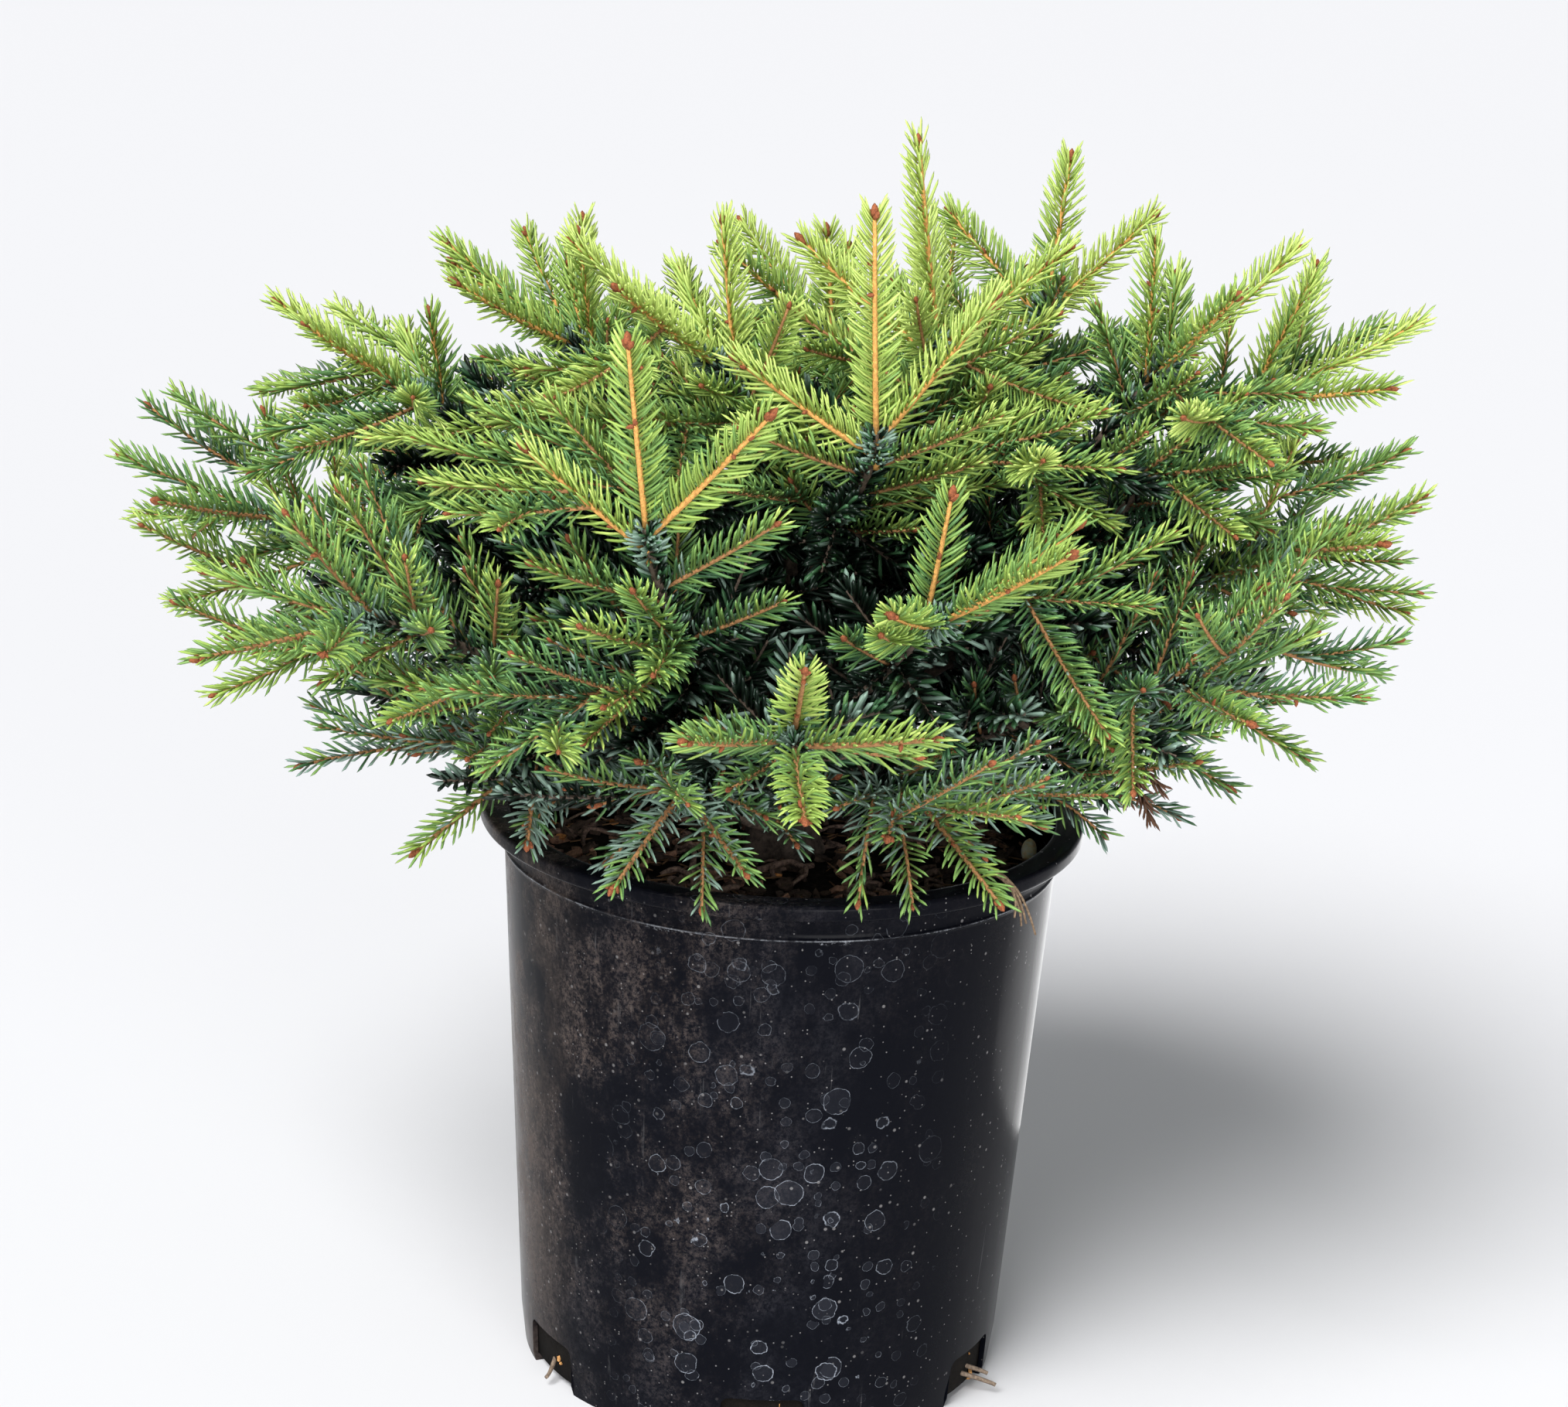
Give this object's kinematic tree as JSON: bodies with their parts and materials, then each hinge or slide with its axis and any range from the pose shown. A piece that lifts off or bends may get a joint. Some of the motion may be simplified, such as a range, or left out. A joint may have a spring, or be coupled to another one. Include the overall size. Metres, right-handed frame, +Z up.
{
  "type": "potted birds nest spruce",
  "caption": "Low spreading spruce with a hollowed crown of short needled shoots, in a round tapered nursery pot with a rolled lip and foot notches.",
  "frame": {"origin": "centre of the pot's flat underside", "axes": "+Z up along the pot's axis; -Y is the side that faces the camera of the picture; +X is that camera's right"},
  "size_m": [0.4907, 0.4501, 0.4814],
  "materials": {
    "pot_plastic": "semi-gloss black, dusty, with dried water rings",
    "soil": "rough, damp bark and peat",
    "trunk_bark": "rough grey-brown bark",
    "bough_bark": "rough orange-brown bark",
    "needles_skirt": "satin, dark blue-green, older needles",
    "needles_low": "satin, dark green",
    "needles_mid": "satin, mid green",
    "needles_high": "satin, fresh green",
    "needles_leader": "satin, bright yellow-green new growth"
  },
  "bodies": {
    "root": {"pot": "pot_plastic", "soil": "soil", "trunk": "trunk_bark", "bough_skirt_1": "bough_bark", "needles_skirt_1": "needles_skirt", "bough_skirt_2": "bough_bark", "needles_skirt_2": "needles_skirt", "bough_skirt_3": "bough_bark", "needles_skirt_3": "needles_skirt", "bough_skirt_4": "bough_bark", "needles_skirt_4": "needles_skirt", "bough_skirt_5": "bough_bark", "needles_skirt_5": "needles_skirt", "bough_skirt_6": "bough_bark", "needles_skirt_6": "needles_skirt", "bough_skirt_7": "bough_bark", "needles_skirt_7": "needles_skirt", "bough_low_1": "bough_bark", "needles_low_1": "needles_low", "bough_low_2": "bough_bark", "needles_low_2": "needles_low", "bough_low_3": "bough_bark", "needles_low_3": "needles_low", "bough_low_4": "bough_bark", "needles_low_4": "needles_low", "bough_low_5": "bough_bark", "needles_low_5": "needles_low", "bough_low_6": "bough_bark", "needles_low_6": "needles_low", "bough_low_7": "bough_bark", "needles_low_7": "needles_low", "bough_low_8": "bough_bark", "needles_low_8": "needles_low", "bough_mid_1": "bough_bark", "needles_mid_1": "needles_mid", "bough_mid_2": "bough_bark", "needles_mid_2": "needles_mid", "bough_mid_3": "bough_bark", "needles_mid_3": "needles_mid", "bough_mid_4": "bough_bark", "needles_mid_4": "needles_mid", "bough_mid_5": "bough_bark", "needles_mid_5": "needles_mid", "bough_mid_6": "bough_bark", "needles_mid_6": "needles_mid", "bough_high_1": "bough_bark", "needles_high_1": "needles_high", "bough_high_2": "bough_bark", "needles_high_2": "needles_high", "bough_high_3": "bough_bark", "needles_high_3": "needles_high", "bough_high_4": "bough_bark", "needles_high_4": "needles_high", "bough_leader_1": "bough_bark", "needles_leader_1": "needles_leader", "bough_leader_2": "bough_bark", "needles_leader_2": "needles_leader", "bough_leader_3": "bough_bark", "needles_leader_3": "needles_leader"}
  },
  "joints": []
}
